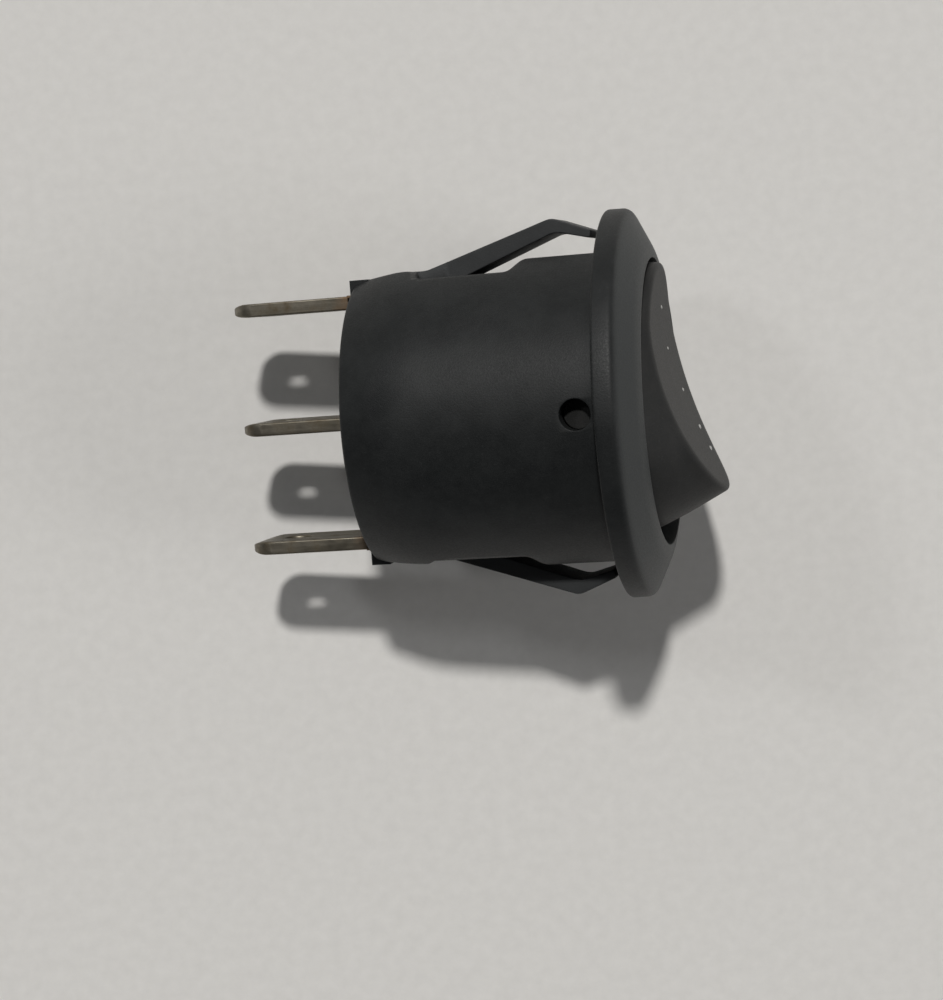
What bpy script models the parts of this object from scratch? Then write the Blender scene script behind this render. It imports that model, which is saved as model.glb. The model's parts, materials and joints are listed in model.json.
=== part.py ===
"""Round snap-in rocker switch with three tabs, modelled piece by piece.

The origin is on the barrel's axis, halfway between the tips of the tabs and the highest point
of the rocker. +X points out of the panel towards the rocker, +Y runs along the row of terminals,
which is also the way the rocker tips, and +Z is the rocker's pivot axis. All sizes are in metres.

The dimensions below are counted from the centre of the bezel's rear seating face, where the
empty called seat stands. Every piece hangs on that empty.
"""

import math

import bmesh
import bpy
from mathutils import Matrix, Vector

MM = 0.001

# The seating face's place in front of the origin.
SEAT_X = 8.53 * MM

# Panel interface: a 23 mm bezel on a barrel for a 20.2 mm hole.
BEZEL_RADIUS = 11.5 * MM
BEZEL_RIM_HEIGHT = 1.2 * MM
BEZEL_CONE_TOP = 2.24 * MM
BEZEL_CONE_RADIUS = 9.35 * MM
BEZEL_HEIGHT = 2.4 * MM
OPENING_RADIUS = 8.5 * MM
BARREL_RADIUS = 9.7 * MM
BARREL_LENGTH = 15.1 * MM
BARREL_MID_X = -12.2 * MM
BARREL_MID_RADIUS = 9.5 * MM
BARREL_REAR_RADIUS = 8.65 * MM

# Inside of the housing.
ROCKER_WELL_DEPTH = 4.8 * MM
CAVITY_RADIUS = 7.0 * MM
COVER_SEAT_X = -13.7 * MM
COVER_SEAT_RADIUS = 7.95 * MM
CHANNEL_HALF_WIDTH = 2.7 * MM
CHANNEL_REACH = 7.95 * MM
CHANNEL_FRONT_X = -12.4 * MM

# Flats and pockets on the two sides that carry the snap arms.
FLAT_FRONT = 8.95 * MM
FLAT_CREST = {"upper": 8.75 * MM, "lower": 8.45 * MM}
FLAT_REAR = 8.3 * MM
POCKET_FLOOR = 8.25 * MM
POCKET_FRONT_X = -5.4 * MM
POCKET_STEP_X = -4.7 * MM
POCKET_REAR_X = -11.2 * MM
RECESS_FLOOR = 7.55 * MM
RECESS_REAR_X = -11.7 * MM
RECESS_FRONT_X = -6.1 * MM
RECESS_HALF_WIDTH = 2.0 * MM
WINDOW_REAR_X = -5.7 * MM
WINDOW_FRONT_X = -0.5 * MM
WINDOW_FLOOR = 8.1 * MM
WINDOW_HALF_WIDTH = 2.3 * MM

# Snap arms.
ARM_HALF_WIDTH = 1.9 * MM
ARM_SPLAY = {"upper": math.radians(1.3), "lower": 0.0}
ARM_HINGE_X = -11.0 * MM
ARM_HINGE_Y = 7.95 * MM
ARM_PEAK = (-3.1 * MM, 11.07 * MM)
ARM_TIP_OUTER = (-0.8 * MM, 10.12 * MM)
ARM_TIP_INNER = (-0.9 * MM, 9.65 * MM)
ARM_PEAK_INNER = (-2.95 * MM, 10.2 * MM)
ARM_KNEE_INNER = (-8.1 * MM, 8.32 * MM)
ARM_HEEL_INNER = (-9.6 * MM, 7.75 * MM)
ARM_ROOT_CENTRE = (-11.2 * MM, 8.0 * MM)
ARM_ROOT_RADIUS = 0.4 * MM
ARM_ROOT_OUTER = (-10.9 * MM, 8.61 * MM)

# Rear cover, which closes the barrel behind the contacts.
COVER_RADIUS = 7.85 * MM
COVER_REAR_X = -15.05 * MM
COVER_FRONT_X = -13.75 * MM
COVER_TAB_REACH = 8.5 * MM
COVER_TAB_ROOT = 6.6 * MM
COVER_TAB_HALF_WIDTH = 2.9 * MM
COVER_TAB_REAR_X = -15.35 * MM
COVER_TAB_FRONT_X = -14.2 * MM
TAB_CLEARANCE = 0.1 * MM

# Terminals: 4.75 x 0.8 mm tabs in a row.
TERMINAL_PITCH = 7.2 * MM
BLADE_HALF_WIDTH = 2.375 * MM
BLADE_THICKNESS = 0.8 * MM
BLADE_ROOT_THICKNESS = 0.9 * MM
BLADE_SHOULDER_X = -15.75 * MM
BLADE_TIP_X = -23.15 * MM
BLADE_TIP_THICKNESS = 0.42 * MM
BLADE_TIP_TAPER = 0.9 * MM
BLADE_CORNER = 1.5 * MM
BLADE_HOLE_RADIUS = 0.85 * MM
BLADE_HOLE_INSET = 2.5 * MM
FOOT_REAR_X = -13.65 * MM
FOOT_FRONT_X = -12.95 * MM
FOOT_INNER_Y = 3.9 * MM
FOOT_BEVEL = 0.4 * MM
CRADLE_X = -10.87 * MM
CRADLE_EAR_X = -10.1 * MM
CRADLE_NOTCH_HALF_WIDTH = 1.75 * MM
SLOT_GAP = 0.1 * MM

# Rocker, in its own frame: X is out of the touch face, Y along it, Z the pivot axis.
PIVOT_X = -1.3 * MM
ROCKER_TILT = math.radians(14)
TROUGH_RADIUS = 20.4 * MM
TROUGH_LOWEST = 4.62 * MM
# Height, half length, half width and roundness exponent of each section, from the skirt up.
ROCKER_SECTIONS = (
    (-1.2 * MM, 7.90 * MM, 7.90 * MM, 2.0),
    (0.6 * MM, 8.05 * MM, 8.08 * MM, 2.0),
    (2.4 * MM, 7.78 * MM, 7.95 * MM, 2.05),
    (3.6 * MM, 7.54 * MM, 7.05 * MM, 2.15),
    (4.7 * MM, 7.28 * MM, 6.05 * MM, 2.2),
    (6.3 * MM, 6.90 * MM, 5.40 * MM, 2.25),
)
ROCKER_HOLLOW_RADIUS = 6.5 * MM
ROCKER_HOLLOW_TOP = 3.2 * MM
STEM_RADIUS = 1.75 * MM
STEM_BOTTOM = -5.6 * MM
STEM_BORE_RADIUS = 1.15 * MM
STEM_BORE_TOP = 2.3 * MM
TRUNNION_RADIUS = 0.87 * MM
TRUNNION_REACH = 9.1 * MM
TRUNNION_HOLE_RADIUS = 0.95 * MM

# Plunger and spring, on the rocker's stem axis.
PLUNGER_RADIUS = 1.0 * MM
PLUNGER_TIP_REACH = 8.9 * MM
PLUNGER_SHOULDER = -4.2 * MM
PLUNGER_SPIGOT_RADIUS = 0.45 * MM
PLUNGER_SPIGOT_TOP = -3.1 * MM
SPRING_RADIUS = 0.8 * MM
SPRING_WIRE_RADIUS = 0.16 * MM
SPRING_BOTTOM = -3.95 * MM
SPRING_TOP = 2.05 * MM
SPRING_TURNS = 7

# Moving contact: a see-saw strip on the common terminal's cradle.
SEESAW_X = -11.0 * MM
SEESAW_TILT = math.radians(-8)
STRIP_HALF_WIDTH = 1.5 * MM
STRIP_THICKNESS = 0.45 * MM
STRIP_CENTRE = 0.70 * MM
STRIP_CREST = (1.44 * MM, 2.6 * MM)
STRIP_END_HEIGHT = 0.30 * MM
STRIP_END_START = 4.3 * MM
STRIP_END = 6.3 * MM
RIVET_OFFSET = 5.3 * MM
FIXED_RIVET_Y = 5.2 * MM
RIVET_SHANK_RADIUS = 0.5 * MM
RIVET_HOLE_RADIUS = 0.6 * MM

ROUND_STEPS = 72
SMALL_STEPS = 24
SIDES = {"upper": 1, "lower": -1}

NYLON = ("black_nylon", (0.028, 0.029, 0.030), 0.62, 0.0)
TOUCH_NYLON = ("rocker_nylon", (0.034, 0.034, 0.034), 0.55, 0.0)
TINNED = ("tinned_brass", (0.30, 0.27, 0.22), 0.42, 1.0)
COPPER = ("contact_copper", (0.72, 0.38, 0.22), 0.35, 1.0)
SILVER = ("contact_silver", (0.80, 0.79, 0.76), 0.30, 1.0)
STEEL = ("spring_steel", (0.55, 0.55, 0.56), 0.30, 1.0)
ACETAL = ("plunger_acetal", (0.75, 0.74, 0.70), 0.45, 0.0)


def clear_scene():
    for obj in list(bpy.data.objects):
        bpy.data.objects.remove(obj, do_unlink=True)


def new_empty(name, position, angle=0.0, parent=None):
    empty = bpy.data.objects.new(name, None)
    empty.location = position
    empty.rotation_euler = (0, 0, angle)
    empty.parent = parent
    return empty


def new_collection(name):
    collection = bpy.data.collections.new(name)
    bpy.context.scene.collection.children.link(collection)
    return collection


clear_scene()
PARTS = new_collection("round_rocker_switch")
CUTTERS = new_collection("cutters")
SEAT = new_empty("seat", (SEAT_X, 0, 0))
PARTS.objects.link(SEAT)


def material_of(spec):
    name, colour, roughness, metallic = spec
    material = bpy.data.materials.get(name)
    if material is None:
        material = bpy.data.materials.new(name)
        material.use_nodes = True
        shader = material.node_tree.nodes["Principled BSDF"]
        shader.inputs["Base Color"].default_value = (*colour, 1.0)
        shader.inputs["Roughness"].default_value = roughness
        shader.inputs["Metallic"].default_value = metallic
    return material


def add_object(name, data, pivot=None):
    obj = bpy.data.objects.new(name, data)
    CUTTERS.objects.link(obj)
    obj.parent = pivot or SEAT
    return obj


def make_part(obj, name, spec):
    """Turns a shape into a node of the switch."""
    obj.name = name
    CUTTERS.objects.unlink(obj)
    PARTS.objects.link(obj)
    obj.data.materials.clear()
    obj.data.materials.append(material_of(spec))
    obj.data.shade_smooth()
    obj.data.set_sharp_from_angle(angle=math.radians(35))
    return obj


def combine(target, tool, operation):
    """Cuts a tool from the target, or joins the tool to it."""
    modifier = target.modifiers.new(tool.name, "BOOLEAN")
    modifier.operation = operation
    modifier.object = tool
    modifier.solver = "EXACT"
    tool.hide_render = True
    tool.display_type = "WIRE"


def cut(target, *tools):
    for tool in tools:
        combine(target, tool, "DIFFERENCE")


def join(target, *tools):
    for tool in tools:
        combine(target, tool, "UNION")


def pivot_empty(name, position, angle=0.0):
    empty = new_empty(name, position, angle, SEAT)
    PARTS.objects.link(empty)
    return empty


def mesh_from(name, bm):
    bmesh.ops.recalc_face_normals(bm, faces=bm.faces)
    mesh = bpy.data.meshes.new(name)
    bm.to_mesh(mesh)
    bm.free()
    return mesh


def box(name, low, high, pivot=None):
    size = [h - l for l, h in zip(low, high)]
    centre = [(h + l) / 2 for l, h in zip(low, high)]
    bm = bmesh.new()
    bmesh.ops.create_cube(bm, size=1.0, matrix=Matrix.Translation(centre) @ Matrix.Diagonal((*size, 1)))
    return add_object(name, mesh_from(name, bm), pivot)


def cylinder(name, radius, start, end, steps=SMALL_STEPS, pivot=None):
    """A cylinder between two points."""
    axis = Vector(end) - Vector(start)
    turn = axis.to_track_quat("Z", "Y").to_matrix().to_4x4()
    place = Matrix.Translation((Vector(start) + Vector(end)) / 2) @ turn
    bm = bmesh.new()
    bmesh.ops.create_cone(
        bm, cap_ends=True, segments=steps, radius1=radius, radius2=radius, depth=axis.length, matrix=place
    )
    return add_object(name, mesh_from(name, bm), pivot)


def turned(name, profile, steps=ROUND_STEPS, position=(0, 0, 0), pivot=None):
    """A solid of revolution about X. The profile lists (x, radius) from its front to its rear."""
    points = [(radius, 0, x) for x, radius in profile]
    mesh = bpy.data.meshes.new(name)
    mesh.from_pydata(points, [(i, i + 1) for i in range(len(points) - 1)], [])
    obj = add_object(name, mesh, pivot)
    obj.location = position
    obj.rotation_euler = (0, math.radians(90), 0)
    screw = obj.modifiers.new("turn", "SCREW")
    screw.steps = steps
    screw.render_steps = steps
    screw.use_merge_vertices = True
    screw.merge_threshold = 1e-6
    return obj


def prism(name, outline, half_width, pivot=None):
    """A flat outline in X and Y, given a thickness along Z."""
    curve = bpy.data.curves.new(name, "CURVE")
    curve.dimensions = "2D"
    curve.fill_mode = "BOTH"
    curve.extrude = half_width
    spline = curve.splines.new("POLY")
    spline.points.add(len(outline) - 1)
    for point, (x, y) in zip(spline.points, outline):
        point.co = (x, y, 0, 1)
    spline.use_cyclic_u = True
    source = bpy.data.objects.new(name, curve)
    CUTTERS.objects.link(source)
    graph = bpy.context.evaluated_depsgraph_get()
    mesh = bpy.data.meshes.new_from_object(source.evaluated_get(graph))
    bpy.data.objects.remove(source, do_unlink=True)
    bm = bmesh.new()
    bm.from_mesh(mesh)
    bmesh.ops.remove_doubles(bm, verts=bm.verts, dist=1e-7)
    bpy.data.meshes.remove(mesh)
    return add_object(name, mesh_from(name, bm), pivot)


def mirrored(outline, side):
    return [(x, side * y) for x, y in outline]


def arc(centre, radius, start, end, steps):
    """Points on an arc, with its angles in degrees."""
    angles = [math.radians(start + (end - start) * i / steps) for i in range(steps + 1)]
    return [(centre[0] + radius * math.cos(a), centre[1] + radius * math.sin(a)) for a in angles]


def build_housing():
    """The moulded barrel and bezel, open at the front for the rocker and at the rear for the cover."""
    housing = turned(
        "barrel",
        (
            (1.0 * MM, 0),
            (1.0 * MM, BARREL_RADIUS),
            (BARREL_MID_X, BARREL_MID_RADIUS),
            (-BARREL_LENGTH, BARREL_REAR_RADIUS),
            (-BARREL_LENGTH, 0),
        ),
    )
    outside = 13 * MM
    for name, side in SIDES.items():
        flat = (
            (-BARREL_LENGTH - 1 * MM, FLAT_REAR),
            (-BARREL_LENGTH, FLAT_REAR),
            (BARREL_MID_X, FLAT_CREST[name]),
            (POCKET_REAR_X - 0.2 * MM, FLAT_CREST[name]),
            (POCKET_REAR_X, POCKET_FLOOR),
            (POCKET_FRONT_X, POCKET_FLOOR),
            (POCKET_STEP_X, FLAT_FRONT),
            (2 * MM, FLAT_FRONT),
            (2 * MM, outside),
            (-BARREL_LENGTH - 1 * MM, outside),
        )
        cut(housing, prism("flat_" + name, mirrored(flat, side), outside))
    bezel = turned(
        "bezel",
        (
            (BEZEL_HEIGHT, 0),
            (BEZEL_HEIGHT, OPENING_RADIUS + 0.15 * MM),
            (BEZEL_CONE_TOP, BEZEL_CONE_RADIUS),
            (BEZEL_RIM_HEIGHT, BEZEL_RADIUS - 0.15 * MM),
            (BEZEL_RIM_HEIGHT - 0.15 * MM, BEZEL_RADIUS),
            (0.1 * MM, BEZEL_RADIUS),
            (0, BEZEL_RADIUS - 0.1 * MM),
            (0, 0),
        ),
    )
    join(housing, bezel)
    cavity = turned(
        "cavity",
        (
            (BEZEL_HEIGHT + 1 * MM, 0),
            (BEZEL_HEIGHT + 1 * MM, OPENING_RADIUS),
            (-ROCKER_WELL_DEPTH, OPENING_RADIUS),
            (-ROCKER_WELL_DEPTH, CAVITY_RADIUS),
            (COVER_SEAT_X, CAVITY_RADIUS),
            (COVER_SEAT_X, COVER_SEAT_RADIUS),
            (-BARREL_LENGTH - 1 * MM, COVER_SEAT_RADIUS),
            (-BARREL_LENGTH - 1 * MM, 0),
        ),
    )
    rear = -BARREL_LENGTH - 1 * MM
    channel = box(
        "terminal_channel",
        (rear, -CHANNEL_REACH, -CHANNEL_HALF_WIDTH),
        (CHANNEL_FRONT_X, CHANNEL_REACH, CHANNEL_HALF_WIDTH),
    )
    notch_half_width = COVER_TAB_HALF_WIDTH + TAB_CLEARANCE
    notch_front = COVER_TAB_FRONT_X + TAB_CLEARANCE
    notch = box("rear_notch", (rear, -outside, -notch_half_width), (notch_front, outside, notch_half_width))
    pivot_hole = cylinder(
        "pivot_hole", TRUNNION_HOLE_RADIUS, (PIVOT_X, 0, -outside), (PIVOT_X, 0, outside), SMALL_STEPS
    )
    cut(housing, cavity, channel, notch, pivot_hole)
    for name, side in SIDES.items():
        near, far = sorted((side * WINDOW_FLOOR, side * outside))
        window = box(
            "arm_window_" + name,
            (WINDOW_REAR_X, near, -WINDOW_HALF_WIDTH),
            (WINDOW_FRONT_X, far, WINDOW_HALF_WIDTH),
        )
        near, far = sorted((side * RECESS_FLOOR, side * outside))
        recess = box(
            "arm_recess_" + name,
            (RECESS_REAR_X, near, -RECESS_HALF_WIDTH),
            (RECESS_FRONT_X, far, RECESS_HALF_WIDTH),
        )
        cut(housing, window, recess)
    make_part(housing, "housing", NYLON)


def build_snap_arm(name, side):
    """One springy arm. The hinge at its root stands for the bending of the plastic."""
    pivot = pivot_empty("hinge_" + name, (ARM_HINGE_X, side * ARM_HINGE_Y, 0), side * ARM_SPLAY[name])
    root = arc(ARM_ROOT_CENTRE, ARM_ROOT_RADIUS, 250, 120, 6)
    outline = [ARM_PEAK, ARM_TIP_OUTER, ARM_TIP_INNER, ARM_PEAK_INNER]
    outline += [ARM_KNEE_INNER, ARM_HEEL_INNER]
    outline += root
    outline += [ARM_ROOT_OUTER]
    local = [(x - ARM_HINGE_X, side * (y - ARM_HINGE_Y)) for x, y in outline]
    arm = prism("arm_" + name, local, ARM_HALF_WIDTH, pivot)
    make_part(arm, "snap_arm_" + name, NYLON)


def build_rear_cover():
    cover = cylinder(
        "cover_disc", COVER_RADIUS, (COVER_REAR_X, 0, 0), (COVER_FRONT_X, 0, 0), ROUND_STEPS
    )
    for name, side in SIDES.items():
        near, far = sorted((side * COVER_TAB_ROOT, side * COVER_TAB_REACH))
        tab = box(
            "cover_tab_" + name,
            (COVER_TAB_REAR_X, near, -COVER_TAB_HALF_WIDTH),
            (COVER_TAB_FRONT_X, far, COVER_TAB_HALF_WIDTH),
        )
        join(cover, tab)
    half = BLADE_ROOT_THICKNESS / 2 + SLOT_GAP
    width = BLADE_HALF_WIDTH + SLOT_GAP
    for index in (-1, 0, 1):
        y = index * TERMINAL_PITCH
        slot = box(
            f"terminal_slot_{index + 1}",
            (COVER_REAR_X - 1 * MM, y - half, -width),
            (COVER_FRONT_X + 1 * MM, y + half, width),
        )
        cut(cover, slot)
    make_part(cover, "rear_cover", NYLON)


def blade_side(y):
    """The rear end of a blade seen from its edge: a shoulder at the root, and a thinned tip."""
    root = BLADE_ROOT_THICKNESS / 2
    half = BLADE_THICKNESS / 2
    tip = BLADE_TIP_THICKNESS / 2
    taper = BLADE_TIP_X + BLADE_TIP_TAPER
    upper = [(BLADE_SHOULDER_X, root), (BLADE_SHOULDER_X, half), (taper, half), (BLADE_TIP_X, tip)]
    lower = mirrored(reversed(upper), -1)
    return [(x, y + offset) for x, offset in upper + lower]


def shape_blade(terminal, y):
    """Rounds the two corners of the tip and drills the hole."""
    reach = 1.5 * MM
    for side in (-1, 1):
        corner = BLADE_TIP_X + BLADE_CORNER
        outline = [
            (BLADE_TIP_X - 1 * MM, BLADE_HALF_WIDTH + 1 * MM),
            (BLADE_TIP_X - 1 * MM, BLADE_HALF_WIDTH - BLADE_CORNER),
        ]
        outline += arc((corner, BLADE_HALF_WIDTH - BLADE_CORNER), BLADE_CORNER, 180, 90, 8)
        outline += [(corner, BLADE_HALF_WIDTH + 1 * MM)]
        waste = prism("tip_corner", mirrored(outline, side), reach)
        waste.location = (0, y, 0)
        waste.rotation_euler = (math.radians(90), 0, 0)
        cut(terminal, waste)
    x = BLADE_TIP_X + BLADE_HOLE_INSET
    cut(terminal, cylinder("tab_hole", BLADE_HOLE_RADIUS, (x, y - reach, 0), (x, y + reach, 0)))


def build_outer_terminal(name, side):
    """A blade bent inwards over the cover into a foot, which holds a fixed contact."""
    half = BLADE_ROOT_THICKNESS / 2
    y = TERMINAL_PITCH
    outline = blade_side(y)
    outline += [(FOOT_REAR_X, y - half), (FOOT_REAR_X, FOOT_INNER_Y), (FOOT_FRONT_X, FOOT_INNER_Y)]
    outline += [(FOOT_FRONT_X, y + half - FOOT_BEVEL), (FOOT_FRONT_X - FOOT_BEVEL, y + half)]
    terminal = prism("terminal", mirrored(outline, side), BLADE_HALF_WIDTH)
    shape_blade(terminal, side * y)
    hole = cylinder(
        "contact_hole",
        RIVET_HOLE_RADIUS,
        (FOOT_REAR_X - 1 * MM, side * FIXED_RIVET_Y, 0),
        (FOOT_FRONT_X + 1 * MM, side * FIXED_RIVET_Y, 0),
    )
    cut(terminal, hole)
    make_part(terminal, "terminal_" + name, TINNED)


def build_common_terminal():
    """The middle blade, whose front edge and two ears are the cradle of the moving contact."""
    half = BLADE_ROOT_THICKNESS / 2
    outline = blade_side(0) + [(CRADLE_EAR_X, -half), (CRADLE_EAR_X, half)]
    terminal = prism("terminal", outline, BLADE_HALF_WIDTH)
    shape_blade(terminal, 0)
    notch = box(
        "cradle_notch",
        (CRADLE_X, -1 * MM, -CRADLE_NOTCH_HALF_WIDTH),
        (CRADLE_EAR_X + 1 * MM, 1 * MM, CRADLE_NOTCH_HALF_WIDTH),
    )
    cut(terminal, notch)
    make_part(terminal, "terminal_common", TINNED)


def rivet(name, head_x, face_x, shank_x, radius, y, pivot=None):
    """A contact rivet: a head with a slightly domed face, and its shank."""
    ahead = 1 if face_x > head_x else -1
    profile = [
        (face_x, 0),
        (face_x, radius * 0.6),
        (face_x - ahead * 0.1 * MM, radius),
        (head_x, radius),
        (head_x, RIVET_SHANK_RADIUS),
        (shank_x, RIVET_SHANK_RADIUS),
        (shank_x, 0),
    ]
    if ahead < 0:
        profile.reverse()
    shape = turned(name, profile, SMALL_STEPS, (0, y, 0), pivot)
    make_part(shape, name, SILVER)


def build_moving_contact(pivot):
    """A gull-shaped strip: a trough for the plunger in the middle and a contact at each end."""
    crest_height, crest_reach = STRIP_CREST
    slope = math.atan((crest_height - STRIP_CENTRE) / crest_reach)
    under_centre = STRIP_CENTRE - STRIP_THICKNESS / math.cos(slope)
    end_under = STRIP_END_HEIGHT - STRIP_THICKNESS
    top = [(STRIP_CENTRE, 0), STRIP_CREST, (STRIP_END_HEIGHT, STRIP_END_START), (STRIP_END_HEIGHT, STRIP_END)]
    under = [
        (end_under, STRIP_END),
        (end_under, STRIP_END_START - 0.15 * MM),
        (crest_height - STRIP_THICKNESS, crest_reach - 0.05 * MM),
        (under_centre, 0),
    ]
    left = mirrored(reversed(top[1:]), -1)
    left_under = mirrored(reversed(under[:-1]), -1)
    strip = prism("strip", left + top + under + left_under, STRIP_HALF_WIDTH, pivot)
    for name, side in SIDES.items():
        y = side * RIVET_OFFSET
        hole = cylinder("strip_hole_" + name, RIVET_HOLE_RADIUS, (-1 * MM, y, 0), (1 * MM, y, 0), pivot=pivot)
        cut(strip, hole)
        rivet(
            "moving_rivet_" + name,
            end_under - 0.05 * MM,
            end_under - 0.4 * MM,
            STRIP_END_HEIGHT + 0.1 * MM,
            1.1 * MM,
            y,
            pivot,
        )
    make_part(strip, "moving_contact", COPPER)


def superellipse(half_length, half_width, power, count):
    points = []
    for i in range(count):
        angle = 2 * math.pi * i / count
        c, s = math.cos(angle), math.sin(angle)
        y = half_length * math.copysign(abs(c) ** (2 / power), c)
        z = half_width * math.copysign(abs(s) ** (2 / power), s)
        points.append((y, z))
    return points


def rocker_body(pivot):
    """A loft from the round skirt to the narrower touch face."""
    bm = bmesh.new()
    rings = []
    for height, half_length, half_width, power in ROCKER_SECTIONS:
        outline = superellipse(half_length, half_width, power, ROUND_STEPS)
        rings.append([bm.verts.new((height, y, z)) for y, z in outline])
    for lower, upper in zip(rings, rings[1:]):
        for i in range(ROUND_STEPS):
            j = (i + 1) % ROUND_STEPS
            bm.faces.new((lower[i], lower[j], upper[j], upper[i]))
    bm.faces.new(rings[0])
    bm.faces.new(rings[-1])
    return add_object("rocker_body", mesh_from("rocker_body", bm), pivot)


def build_rocker(pivot):
    """The rocker cap with its hollow underside, plunger stem and two trunnions."""
    rocker = rocker_body(pivot)
    trough_centre = TROUGH_LOWEST + TROUGH_RADIUS
    trough = cylinder(
        "trough",
        TROUGH_RADIUS,
        (trough_centre, 0, -12 * MM),
        (trough_centre, 0, 12 * MM),
        steps=240,
        pivot=pivot,
    )
    hollow = cylinder(
        "hollow",
        ROCKER_HOLLOW_RADIUS,
        (-3 * MM, 0, 0),
        (ROCKER_HOLLOW_TOP, 0, 0),
        steps=48,
        pivot=pivot,
    )
    cut(rocker, trough, hollow)
    stem = cylinder(
        "stem", STEM_RADIUS, (STEM_BOTTOM, 0, 0), (ROCKER_HOLLOW_TOP + 0.5 * MM, 0, 0), pivot=pivot
    )
    join(rocker, stem)
    for name, side in SIDES.items():
        start = (0, 0, side * (ROCKER_HOLLOW_RADIUS + 0.6 * MM))
        end = (0, 0, side * TRUNNION_REACH)
        trunnion = cylinder("trunnion_" + name, TRUNNION_RADIUS, start, end, pivot=pivot)
        join(rocker, trunnion)
    bore = cylinder(
        "stem_bore", STEM_BORE_RADIUS, (STEM_BOTTOM - 1 * MM, 0, 0), (STEM_BORE_TOP, 0, 0), pivot=pivot
    )
    cut(rocker, bore)
    make_part(rocker, "rocker", TOUCH_NYLON)


def build_plunger(pivot):
    tip_centre = -(PLUNGER_TIP_REACH - PLUNGER_RADIUS)
    nose = arc((tip_centre, 0), PLUNGER_RADIUS, 90, 180, 6)[:-1]
    profile = [
        (PLUNGER_SPIGOT_TOP, 0),
        (PLUNGER_SPIGOT_TOP, PLUNGER_SPIGOT_RADIUS),
        (PLUNGER_SHOULDER, PLUNGER_SPIGOT_RADIUS),
        (PLUNGER_SHOULDER, PLUNGER_RADIUS),
    ]
    profile += nose + [(-PLUNGER_TIP_REACH, 0)]
    plunger = turned("pin", profile, SMALL_STEPS, pivot=pivot)
    make_part(plunger, "plunger", ACETAL)


def build_spring(pivot):
    steps_per_turn = 12
    count = SPRING_TURNS * steps_per_turn
    curve = bpy.data.curves.new("spring_wire", "CURVE")
    curve.dimensions = "3D"
    curve.bevel_depth = SPRING_WIRE_RADIUS
    curve.bevel_resolution = 1
    curve.use_fill_caps = True
    spline = curve.splines.new("POLY")
    spline.points.add(count)
    for i, point in enumerate(spline.points):
        angle = 2 * math.pi * i / steps_per_turn
        x = SPRING_BOTTOM + (SPRING_TOP - SPRING_BOTTOM) * i / count
        point.co = (x, SPRING_RADIUS * math.cos(angle), SPRING_RADIUS * math.sin(angle), 1)
    spring = add_object("plunger_spring", curve, pivot)
    CUTTERS.objects.unlink(spring)
    PARTS.objects.link(spring)
    curve.materials.append(material_of(STEEL))


def build_switch():
    build_housing()
    build_rear_cover()
    for name, side in SIDES.items():
        build_snap_arm(name, side)
        build_outer_terminal(name, side)
        rivet(
            "fixed_rivet_" + name,
            FOOT_FRONT_X + 0.05 * MM,
            FOOT_FRONT_X + 0.4 * MM,
            FOOT_REAR_X + 0.05 * MM,
            1.2 * MM,
            side * FIXED_RIVET_Y,
        )
    build_common_terminal()
    seesaw_pivot = pivot_empty("seesaw_pivot", (SEESAW_X, 0, 0), SEESAW_TILT)
    build_moving_contact(seesaw_pivot)
    rocker_pivot = pivot_empty("rocker_pivot", (PIVOT_X, 0, 0), ROCKER_TILT)
    build_rocker(rocker_pivot)
    build_plunger(rocker_pivot)
    build_spring(rocker_pivot)


build_switch()
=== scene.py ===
"""Looks of the round snap-in rocker switch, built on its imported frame."""
import json
import math

import bmesh
import bpy
from mathutils import Matrix, Vector


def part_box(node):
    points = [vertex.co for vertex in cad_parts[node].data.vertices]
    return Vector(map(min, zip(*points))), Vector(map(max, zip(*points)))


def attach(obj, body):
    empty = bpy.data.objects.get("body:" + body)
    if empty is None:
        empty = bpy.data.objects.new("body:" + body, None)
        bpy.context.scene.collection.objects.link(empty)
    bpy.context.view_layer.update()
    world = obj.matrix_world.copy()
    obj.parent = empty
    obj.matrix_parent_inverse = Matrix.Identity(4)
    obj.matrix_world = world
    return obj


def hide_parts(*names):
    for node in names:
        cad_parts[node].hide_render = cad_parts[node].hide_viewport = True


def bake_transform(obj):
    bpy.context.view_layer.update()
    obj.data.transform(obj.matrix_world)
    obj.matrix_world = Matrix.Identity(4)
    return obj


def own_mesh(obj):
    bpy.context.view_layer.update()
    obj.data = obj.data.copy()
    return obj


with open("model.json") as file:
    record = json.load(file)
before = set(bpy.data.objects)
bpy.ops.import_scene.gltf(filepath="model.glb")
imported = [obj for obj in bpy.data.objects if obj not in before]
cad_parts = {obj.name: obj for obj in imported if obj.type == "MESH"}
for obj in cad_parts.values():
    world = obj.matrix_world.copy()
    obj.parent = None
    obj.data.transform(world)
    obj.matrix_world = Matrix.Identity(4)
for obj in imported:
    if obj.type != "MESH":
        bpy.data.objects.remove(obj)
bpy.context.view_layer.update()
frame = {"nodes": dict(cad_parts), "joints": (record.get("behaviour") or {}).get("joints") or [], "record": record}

MM = 0.001
NODES = frame["nodes"]
SIDES = {"upper": 1, "lower": -1}
JOINTS = {joint["name"]: joint for joint in frame["joints"]}
MOUNTS = {mount["name"]: mount for mount in frame["record"]["mounts"]}

# Driving places, all read from the frame.
SEAT_X = MOUNTS["panel_seat"]["pos_m"][0]
ROCKER_PIVOT = Vector(JOINTS["rocker_tilt"]["pos_m"])
STEM_AXIS = Vector(JOINTS["plunger_slide"]["axis"])
ROCKER_TILT = math.atan2(STEM_AXIS.y, STEM_AXIS.x)
HOUSING_LOW, HOUSING_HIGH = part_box("housing")

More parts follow.
